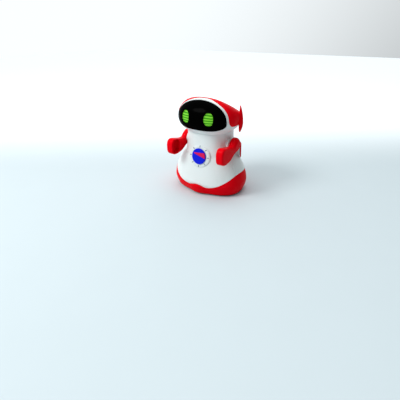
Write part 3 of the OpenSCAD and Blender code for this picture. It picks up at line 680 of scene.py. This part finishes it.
def rear_cover_piece():
    """The red pack cover: an upright wall with slots, and a lip above that meets the body."""
    half = 73
    ts = np.linspace(180 - half, 180 + half, 130)
    wing = (np.abs(ts - 180) / half) ** 4
    low, high = 52.5 + 1.5 * wing, 77 - 2.5 * wing
    out = 0.6 + 0.9 * (1 - wing)
    corner = [(1 - math.sin(q), 1 - math.cos(q)) for q in np.linspace(0, math.pi / 2, 5)]
    steps = np.linspace(0, 1, 14)[1:-1]
    grid = [saddle_point(ts, low + up, out - inwards) for inwards, up in corner]
    grid += [saddle_point(ts, low + 1 + (high - low - 2) * k, out) for k in steps]
    grid += [saddle_point(ts, high - down, out - inwards) for inwards, down in corner[::-1]]
    grid.append(body_point(ts, high, 0.9))
    obj = sheet_object("rear_cover_panel", np.array(grid))
    thicken(obj, 1.5, 0.4)
    for i in range(-2, 3):
        cut(obj, slot_cutter(65 + 4 * i, 22 - 2 * abs(i)))
    sharpen(obj)
    place(obj, RED, "body", "red_shell", "rear_cover")


def cover_seat(name, start, end):
    """The white seat under one side of the rear cover."""
    ts = np.linspace(start, end, 24)
    zs = np.linspace(57, 72, 18)
    outer = np.array([saddle_point(ts, z + 0 * ts, -1.4) for z in zs])
    inner = np.array([body_point(ts, z + 0 * ts, -0.6) for z in zs])
    seat = outward(block(name, outer, inner))
    round_edges(seat, 0.7)
    sharpen(seat, 50)
    place(seat, WHITE, "body", "white_shell", "back_shell")


front_end, back_start = SPLIT_T - SEAM_GAP, SPLIT_T + SEAM_GAP
shell_piece("front_moulding", -front_end, front_end, 150, 0.0, "front_shell")
shell_piece("back_moulding", back_start, 360 - SPLIT_T - SEAM_GAP, 200, BACK_PROUD, "back_shell")
skirt_piece()
rear_cover_piece()
cover_seat("left_cover_seat", 108.5, 124)
cover_seat("right_cover_seat", 251.5, 236)


# ---- head ---------------------------------------------------------------------------------

def head_rim_piece():
    """The white shell: the rim round the faceplate, the chin and the underside."""
    obj = sheet_object("head_rim", between(visor_loop(0.15), cap_loop(0.0), 48), closed=True)
    thicken(obj, PANEL_T, 0.5)
    return place(obj, WHITE, "body", "white_shell", "head_shell")


def cap_piece():
    """The red cap over the top and back of the head."""
    edge = cap_loop(0.25)
    # The grid closes high on the back of the head, away from its edge on every side.
    pole = HEAD_CENTRE + np.array([0, 22.0, 24.0])
    top = on_head(np.array([pole - HEAD_CENTRE]))[0]
    grid = between(np.tile(top, (len(edge), 1)), edge, 60)[1:]
    # The cap dips towards its edge, so the white rim stands a little proud of it.
    k = np.linspace(0, 1, len(grid) + 1)[1:, None, None]
    out = grid - HEAD_CENTRE
    grid = grid - CAP_DIP * k**3 * out / np.linalg.norm(out, axis=-1, keepdims=True)
    obj = sheet_object("cap", grid, closed=True, pole=top)
    thicken(obj, PANEL_T, 0.5)
    return place(obj, RED, "body", "red_shell", "head_cap")


def polar_face(outline_x, outline_z, rows, off, dome=0.0):
    """A grid on the front of the head that fills an outline, from its middle outwards."""
    middle_x, middle_z = outline_x.mean(), outline_z.mean()
    grid = []
    for k in np.linspace(0, 1, rows)[1:]:
        x = middle_x + (outline_x - middle_x) * k
        z = middle_z + (outline_z - middle_z) * k
        points = face_point(x, z, off)
        points[:, 1] -= dome * (1 - k * k)
        grid.append(points)
    pole = face_point(np.array([middle_x]), np.array([middle_z]), off)[0]
    pole[1] -= dome
    return np.array(grid), pole


def eye_outline(side, grow=0.0):
    """One eye's outline in x and z."""
    t = np.radians(np.linspace(0, 360, 96, endpoint=False))
    return (side * EYE_X + (EYE_RX + grow) * root(np.cos(t), 0.92),
            EYE_Z + (EYE_RZ + grow) * root(np.sin(t), 0.92))


def visor_piece():
    """The gloss black faceplate with its two eye holes."""
    x, z = visor_outline(np.radians(np.linspace(0, 360, 240, endpoint=False)))
    grid, pole = polar_face(x, z, 48, 0.2)
    obj = sheet_object("faceplate", grid, closed=True, pole=pole)
    thicken(obj, PANEL_T, 0.45)
    for side in (1, -1):
        outline = list(zip(*eye_outline(side, 0.1)))
        cut(obj, outward(prism("eye_hole", outline, -60, -10, along_y)))
    sharpen(obj, 35)
    place(obj, FACEPLATE, "body", "faceplate", "visor")


def eye_piece(side, name, node):
    """A slightly domed lens, set back in its hole."""
    x, z = eye_outline(side)
    grid, pole = polar_face(x, z, 20, -EYE_SET, dome=0.35)
    obj = sheet_object(name, grid, closed=True, pole=pole, flip=True)
    thicken(obj, 0.8, 0.25)
    place(obj, EYE, "body", "eye_green", node)


def ear_piece(side, name, node):
    """A leaf-shaped fin, thickest low down, on a round boss that blends into the cap."""
    count = 72
    t = np.radians(np.linspace(0, 360, count, endpoint=False))
    s = np.sin(t)
    outline = np.stack([10 * np.cos(t) * (1 - 0.42 * (s + 1)) + 0.4,
                        np.where(s > 0, 22 * np.abs(s) ** 1.25, 20.5 * s)], axis=1)
    middle = np.array([0.4, -4.0])
    frame_at = mirrored(at_ear, side)
    points = [frame_at(*middle, 7.4)]
    outer = [(k, 3.0 + 4.4 * (1 - k**2.1)) for k in np.linspace(0, 0.97, 16)[1:]]
    inner = [(1.0, 2.5), (0.97, 1.9), (0.6, 1.2)]
    for k, height in outer + inner:
        points += [frame_at(*(middle + (q - middle) * k), height) for q in outline]
    rows = len(outer) + len(inner)
    points.append(frame_at(*middle, 0.8))
    faces = [(1 + (i + 1) % count, 1 + i, 0) for i in range(count)]
    faces += [tuple(1 + v for v in f) for f in grid_faces(rows, count, True)]
    base = 1 + (rows - 1) * count
    faces += [(base + i, base + (i + 1) % count, len(points) - 1) for i in range(count)]
    leaf = outward(new_object(name, points, faces))
    profile = [(0, -5), (8.5, -5), (8.5, 0.4), (8.3, 1.1), (7.8, 1.7), (7, 2.2), (5, 2.7), (0, 3)]
    boss = outward(revolve(name + "_boss", profile, count, frame_at))
    for obj in (leaf, boss):
        place(obj, RED, "body", "red_shell", node)


# ---- arms ---------------------------------------------------------------------------------

def arm_piece(side, name, body, node):
    """An arm, rounder at the shoulder than at the hand, which is hollow on its inner face."""
    loop = smooth_loop(ARM_POINTS, 6)
    into = inward(loop)
    rounder = 3 * ease((loop[:, 0] + 26) / 18)
    loops = []
    inner_edge = (1.5, True, np.linspace(90, 0, 9))
    outer_edge = (3.0, False, np.linspace(0, 90, 13))
    for least, from_inner, angles in (inner_edge, outer_edge):
        r = least + rounder
        for q in np.radians(angles):
            flat = loop + (r * (1 - math.cos(q)))[:, None] * into
            deep = r * (1 - math.sin(q))
            height = ARM_X + (deep if from_inner else ARM_T - deep)
            loops.append(np.column_stack([flat, height]))
    frame_at = mirrored(at_shoulder, side)
    arm = outward(loft(name, loops, frame_at))
    rim = rounded_rect(-45.6, -17, -28.5, 4, 5)
    floor_rim = rounded_rect(-44.9, -16.3, -29.2, 3.3, 4.3)
    levels = ((ARM_X - 1, rim), (ARM_X + 6.3, rim), (ARM_X + 7, floor_rim))
    rings = [[(a, b, h) for a, b in edge] for h, edge in levels]
    cut(arm, outward(loft("hollow", rings, frame_at)))
    sharpen(arm, 35)
    place(arm, RED, body, "red_shell", node)


def shoulder_boss(side, name):
    """A white round seat between an arm and the body."""
    profile = [(0, 33), (BOSS_R, 33), (BOSS_R, 38.4), (BOSS_R - 0.3, 38.9),
               (BOSS_R - 0.8, 39.2), (0, 39.2)]
    boss = outward(revolve(name, profile, 96, mirrored(at_shoulder, side)))
    sharpen(boss, 35)
    place(boss, WHITE, "body", "white_shell", "back_shell")


# ---- dial ---------------------------------------------------------------------------------

def dial_pieces():
    """The white disc with its marks, the blue dial and the red wedge on it."""
    profile = [(0, -BEZEL_T), (BEZEL_R, -BEZEL_T), (BEZEL_R, -2.0), (18.9, -1.7), (18.6, -1.3),
               (18, -0.85), (17.2, -0.5), (16.2, -0.2), (15, 0), (13.3, 0), (13.1, -0.25),
               (0, -0.25)]
    bezel = outward(revolve("bezel", profile, 128, at_dial))
    sharpen(bezel, 30)
    place(bezel, WHITE, "body", "white_shell", "dial_bezel")
    bar = rounded_rect(14, -0.5, 17.2, 0.5, 0.45, 4)
    for i in range(DIAL_MARKS):
        turned = rotated(bar, math.radians(360 / DIAL_MARKS * i))
        mark = outward(prism(f"dial_mark_{i + 1}", turned, -0.6, 0.05, at_dial))
        place(mark, PRINT, "body", "white_shell", "dial_bezel")
    profile = [(0, 0.2), (12.3, 0.2), (DIAL_R, 0.4), (DIAL_R, 1.2), (12.35, 1.5), (12.0, 1.75),
               (11.3, 1.85), (0, 1.95)]
    disc = outward(revolve("dial_disc", profile, 128, at_dial))
    sharpen(disc, 30)
    place(disc, DIAL_BLUE, "chest_dial", "dial_blue", "chest_dial")
    wedge = arc(12, -8.6, 34.7, 16) + [(-8.2, 5.2), (-8.7, 4.9), (-8.7, 4.3), (-8.2, 3.9)]
    pointer = outward(prism("pointer_wedge", wedge, 1.5, 2.7, at_dial))
    round_edges(pointer, 0.3)
    sharpen(pointer, 30)
    place(pointer, POINTER_RED, "chest_dial", "pointer_red", "dial_pointer")


# ---- keys ---------------------------------------------------------------------------------

KEY_LOOKS = {"go": (KEY_GREEN, "key_green"), "clear": (KEY_YELLOW, "key_yellow")}
KEY_HEIGHT = 1.6
KEY_STEPS = 64
ARROW = [(-0.1, 0.42), (-0.1, -0.08), (-0.42, -0.08), (0, -0.55), (0.42, -0.08), (0.1, -0.08),
         (0.1, 0.42)]
ARROW_TURNS = {"forward": 0, "right": math.pi / 2, "back": math.pi, "left": -math.pi / 2}


def key_symbol(kind, r):
    """A plain sign for a key: an arrow along its direction, a disc or a bar."""
    if kind == "clear":
        return rounded_rect(-r * 0.5, -r * 0.14, r * 0.5, r * 0.14, r * 0.12, 4)
    if kind == "go":
        return [(r * 0.5 * math.cos(-q), r * 0.5 * math.sin(-q))
                for q in np.linspace(0, 2 * math.pi, 40)[:-1]]
    return [(r * a, r * b) for a, b in rotated(ARROW, ARROW_TURNS[kind])]


def key_pieces():
    """The six key caps, dished on top, each with its raised sign."""
    for kind, (_, _, r, sink) in KEYS.items():
        top = KEY_HEIGHT - sink
        profile = [(0, -5), (r + 1, -5), (r + 1, -4.2), (r, -4.2), (r, top - 0.9),
                   (r - 0.1, top - 0.45), (r - 0.4, top - 0.12), (r - 0.9, top),
                   (r - 1.4, top - 0.05), (r * 0.4, top - 0.3), (0, top - 0.35)]
        material, slot = KEY_LOOKS.get(kind, (KEY_BLUE, "key_blue"))
        cap = outward(revolve(f"{kind}_keycap", profile, KEY_STEPS, at_key(kind)))
        sharpen(cap, 40)
        place(cap, material, f"{kind}_key", slot, f"key_{kind}")
        outline = key_symbol(kind, r)
        sign = outward(prism(f"{kind}_sign", outline, top - 1, top - 0.12, at_key(kind)))
        place(sign, KEY_PRINT, f"{kind}_key", slot, f"key_{kind}")


def key_holes(cap):
    """Cuts the holes that the keys stand in."""
    for kind, (_, _, r, _) in KEYS.items():
        profile = [(0, -8), (r + 0.4, -8), (r + 0.4, 6), (0, 6)]
        cut(cap, outward(revolve("key_hole", profile, KEY_STEPS, at_key(kind))))


def neck_hole(rim):
    """Cuts the hole in the head's underside that the neck goes into."""
    half, front, back = (v + BACK_PROUD + 0.3 for v in body_size(NECK_TOP_Z))
    t = np.radians(np.linspace(0, 360, 96, endpoint=False))
    s, c = np.sin(t), np.cos(t)
    x = half * root(s, 2 / SQUARENESS)
    y = -np.where(c > 0, front, back) * root(c, 2 / SQUARENESS)
    outline = list(zip(x, y))
    cut(rim, outward(prism("neck_hole", outline, 60, 112, lambda a, b, h: (a, b, h))))


rim, cap = head_rim_piece(), cap_piece()
neck_hole(rim)
key_holes(cap)
for obj in (rim, cap):
    sharpen(obj, 50)
visor_piece()
dial_pieces()
key_pieces()
for side, word in ((1, "left"), (-1, "right")):
    eye_piece(side, f"{word}_eye", f"{word}_eye_lens")
    ear_piece(side, f"{word}_ear_fin", f"{word}_ear")
    arm_piece(side, f"{word}_arm_shell", f"{word}_arm", f"{word}_arm")
    shoulder_boss(side, f"{word}_shoulder_boss")


# ---- carried-over nodes -------------------------------------------------------------------

SLOT_MATERIALS = {
    "white_shell": WHITE, "red_shell": RED, "faceplate": FACEPLATE, "eye_green": EYE,
    "dial_blue": DIAL_BLUE, "key_blue": KEY_BLUE, "key_green": KEY_GREEN, "key_yellow": KEY_YELLOW,
    "grey_plastic": GREY, "black_plastic": BLACK, "glide": GLIDE, "gear_plastic": GEAR,
    "pinion_brass": BRASS, "steel": STEEL, "motor_can": MOTOR, "cell_sleeve": SLEEVE,
    "board": BOARD, "membrane": MEMBRANE, "hub": HUB, "tyre": TYRE, "pointer_red": POINTER_RED,
}
for part in frame["record"]["subparts"]:
    paint(frame["nodes"][part["node"]], SLOT_MATERIALS[part["material_slot"]])


# ---- stage --------------------------------------------------------------------------------

# In metres
MIDDLE = (0, 0, 0.08)
FLOOR_HALF = 3.0


def floor_material():
    """A plain pale surface that brightens to white far behind the robot."""
    mat = plastic("floor", (0.60, 0.68, 0.71), rough=0.6, mottle=0.01, level=0.1)
    nodes, links = mat.node_tree.nodes, mat.node_tree.links
    shader = nodes["Principled BSDF"]
    where = nodes.new("ShaderNodeTexCoord").outputs["Object"]
    behind = towards(nodes, links, where, (-0.53, 0.85, 0))
    glow = mapped(nodes, links, behind, 0.0, 0.5, span=(0.06, 0.42), smooth=True)
    links.new(glow, shader.inputs["Emission Strength"])
    shader.inputs["Emission Color"].default_value = (1, 1, 1, 1)
    return mat


def aimed(obj, place_at, target):
    """Puts a light or the camera somewhere, looking at a target."""
    obj.location = place_at
    obj.rotation_euler = (Vector(target) - obj.location).to_track_quat("-Z", "Y").to_euler()


def stage_floor():
    mesh = bpy.data.meshes.new("floor")
    s = FLOOR_HALF
    mesh.from_pydata([(-s, -s, 0), (s, -s, 0), (s, s, 0), (-s, s, 0)], [], [(0, 1, 2, 3)])
    floor = linked("floor", mesh)
    paint(floor, floor_material())


def area_light(name, place_at, size, power):
    light = bpy.data.lights.new(name, "AREA")
    light.shape = "DISK"
    light.size = size
    light.energy = power
    aimed(linked(name, light), place_at, MIDDLE)


def camera():
    data = bpy.data.cameras.new("camera")
    data.sensor_width = 36.0
    data.lens = 28.8
    data.shift_x = -0.0395
    data.shift_y = -0.1515
    data.clip_start = 0.01
    obj = linked("camera", data)
    aimed(obj, (0.2605, -0.4128, 0.2491), (0, 0.0208, 0.0749))
    bpy.context.scene.camera = obj


def world_light():
    """A soft room: bright above and on the robot's right, dimmer on its left."""
    world = bpy.data.worlds.new("world")
    bpy.context.scene.world = world
    world.use_nodes = True
    nodes, links = world.node_tree.nodes, world.node_tree.links
    background = nodes["Background"]
    background.inputs["Color"].default_value = (0.93, 0.98, 1.0, 1)
    sky = nodes.new("ShaderNodeTexCoord").outputs["Generated"]
    bright = towards(nodes, links, sky, Vector((-0.86, 0.12, 0.5)).normalized())
    level = mapped(nodes, links, bright, 0.06, 1.05, span=(-0.7, 0.75), smooth=True)
    links.new(level, background.inputs["Strength"])


stage_floor()
world_light()
area_light("key", (-0.55, -0.75, 0.95), 0.5, 8.5)
area_light("top", (0.0, 0.15, 1.1), 0.9, 2.5)
camera()
bpy.context.scene.view_settings.view_transform = "Standard"
